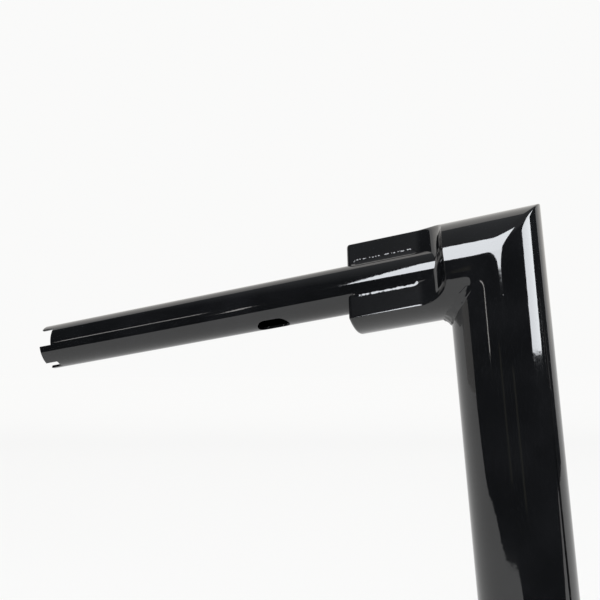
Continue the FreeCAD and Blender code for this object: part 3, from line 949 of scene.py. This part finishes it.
def measure(start, coordinates, axis="Z"):
    """One of the coordinates of a place, its height if none is named."""
    place = start.node("ShaderNodeTexCoord", {}, {}, coordinates)
    return start.node("ShaderNodeSeparateXYZ", {}, {"Vector": place}, axis)


def paper():
    """White paper sweep: it keeps soft shadows, and reads as the white background."""
    material, start = new_material("paper")
    place = start.node("ShaderNodeTexCoord", {}, {}, "Object")
    tone = start.noise(place, 3.0, 3.0).blend((0.86, 0.86, 0.85, 1), (0.9, 0.9, 0.89, 1))
    matt = start.node("ShaderNodeBsdfPrincipled", {}, {"Base Color": tone, "Roughness": 0.9})
    # painted light: the glow that shows the paper brightens further back
    far = measure(start, "Object", "Y").step(0.5, 3.0)
    painted_far_glow = far.blend((0.965, 0.965, 0.96, 1), (1, 1, 0.995, 1))
    white = start.node("ShaderNodeEmission", {}, {"Color": painted_far_glow, "Strength": 1.0})
    mixed = start.node("ShaderNodeMixShader", {}, {0: seen_ray(start) * 0.88, 1: matt, 2: white})
    finish_material(start, mixed)
    return material


def dark_cloth():
    """Cloth round the front of the studio, drawn as a faint glow: near black, with painted spill light that
    makes it lighter under its roof but not far right.
    """
    material, start = new_material("dark_cloth")
    # painted light: the glow rises towards the roof, standing in for spill light falling on the cloth
    painted_spill = measure(start, "Object").step(1.5, 2.2) * measure(start, "Object", "X").step(-2.1, -0.9)
    tone = painted_spill.blend((0.05, 0.054, 0.058, 1), (0.25, 0.26, 0.27, 1))
    finish_material(start, start.node("ShaderNodeEmission", {}, {"Color": tone, "Strength": 1.0}))
    return material


def glow(name, colour, strength, fade):
    """Light of a panel, which fades in over a part of the panel's height."""
    material, start = new_material(name)
    tone = measure(start, "Generated").step(*fade).blend((0, 0, 0, 1), (*colour, 1))
    finish_material(start, start.node("ShaderNodeEmission", {}, {"Color": tone, "Strength": strength}))
    return material


def stage_mesh(name, points, faces, material, seen):
    """A piece of the studio, seen by the camera or only lighting the bar and mirrored in it."""
    mesh = bpy.data.meshes.new(name)
    mesh.from_pydata([tuple(p) for p in points], [], faces)
    mesh.materials.append(material)
    piece = bpy.data.objects.new(name, mesh)
    bpy.context.collection.objects.link(piece)
    piece.visible_camera = seen


def direction(azimuth, elevation):
    """Unit vector; azimuth 0 is straight ahead of the bar and grows to the rider's left."""
    a, e = math.radians(azimuth), math.radians(elevation)
    return np.array([math.sin(a) * math.cos(e), -math.cos(a) * math.cos(e), math.sin(e)])


def add_panel(name, eye, distance, corners, *light):
    """A panel whose corners stand in given directions from a point of the bar."""
    points = [np.array(eye) + direction(*c) * distance for c in corners]
    stage_mesh(name, points, [(0, 1, 2, 3)], glow(name, *light), False)


def eased(line, rounds=3):
    """A line of points with its corners cut off, again and again, until they look round."""
    line = np.array(line)
    for _ in range(rounds):
        near, far = mix(line[:-1], line[1:], 0.25), mix(line[:-1], line[1:], 0.75)
        line = np.concatenate([line[:1], np.stack([near, far], axis=1).reshape(-1, 2), line[-1:]])
    return line


def add_studio():
    """Paper floor, dark tent, a softbox behind and the panels that the bar mirrors."""
    back = (FLOOR_REACH, FLOOR_REACH), (-FLOOR_REACH, FLOOR_REACH)
    floor = [(x, y, FLOOR) for x, y in (*eased(FLOOR_EDGE), *back)]
    stage_mesh("paper_floor", floor, [tuple(range(len(floor)))], paper(), True)
    wall = (TENT_FRONT, TENT_FOOT), (TENT_BACK, TENT_FOOT), (TENT_BACK, TENT_TOP), (TENT_FRONT, TENT_TOP)
    tent = [(x, y, z) for x in (-TENT_HALF_WIDTH, TENT_HALF_WIDTH) for y, z in wall]
    sides = [(0, 1, 2, 3), (4, 5, 6, 7), (0, 3, 7, 4), (3, 2, 6, 7), (0, 1, 5, 4)]
    stage_mesh("dark_tent", tent, sides, dark_cloth(), False)
    light = glow("back_softbox", WARM, BACK_STRENGTH, BACK_FADE)
    stage_mesh("back_softbox", BACK_SOFTBOX, [(0, 1, 2, 3)], light, False)
    for panel in PANELS:
        add_panel(*panel)
    studio_world()


def scene_camera():
    data = bpy.data.cameras.new("camera")
    data.lens = LENS
    data.sensor_width = SENSOR
    data.clip_start = NEAREST
    camera = bpy.data.objects.new("camera", data)
    bpy.context.collection.objects.link(camera)
    camera.location = (TOP_CORNER + CAMERA_FROM_CORNER) * MILLIMETRE
    camera.rotation_euler = (math.pi / 2, 0, 0)
    bpy.context.scene.camera = camera


FINISHES = {"gloss_black": gloss_black(), "bare_steel": bare_steel()}
for side, mirror in (("right", False), ("left", True)):
    add_arm(side, mirror)
    add_upright(side, mirror)
    add_grip(side, mirror)
    add_base(side, mirror)
    add_ring(side, mirror)
    for place, *bead in RECESS_BEADS:
        add_recess_bead(f"{place}_bead_{side}", *bead, mirror, f"{place}_recess_weld_{side}")
    for place, weld, *bead in CORNER_BEADS:
        add_corner_bead(f"{place}_crook_{side}", *bead, mirror, f"{weld}_corner_weld_{side}")
    for node in ("base_bush", "grip_saddle"):
        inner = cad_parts[f"{node}_{side}"]
        inner.data.materials.clear()
        inner.data.materials.append(FINISHES["bare_steel"])
add_clamp()
add_studio()
scene_camera()
bpy.context.scene.view_settings.view_transform = "Standard"
